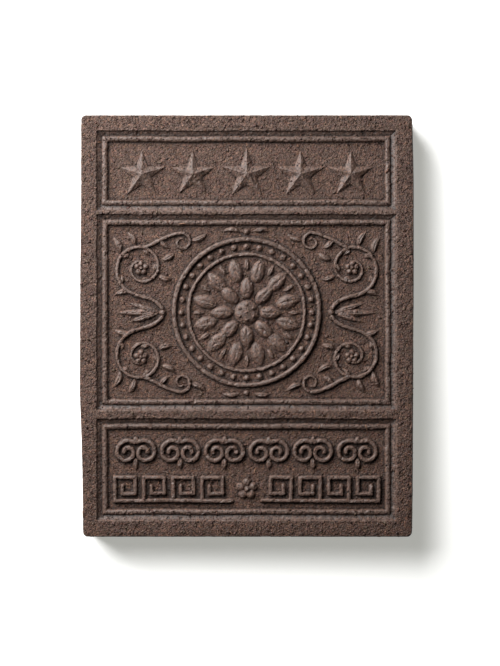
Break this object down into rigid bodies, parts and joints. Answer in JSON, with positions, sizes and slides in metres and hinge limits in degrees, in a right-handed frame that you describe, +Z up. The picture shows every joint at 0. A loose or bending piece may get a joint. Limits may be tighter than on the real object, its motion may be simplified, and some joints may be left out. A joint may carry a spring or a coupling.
{
  "type": "tea brick",
  "caption": "Flat rectangular brick of pressed dark tea with sunk, beaded panels of stars, a flower medallion with vines, and cloud and key-fret borders.",
  "frame": {"origin": "middle of the underside", "axes": "+X across the brick, +Y along its length towards the star panel, +Z up through the relief face"},
  "size_m": [0.188, 0.2376, 0.024],
  "materials": {
    "pressed_tea": "dry, matte to faintly satin pressed tea leaf, dark brown"
  },
  "bodies": {
    "root": {"tea_brick": "pressed_tea"}
  },
  "joints": []
}
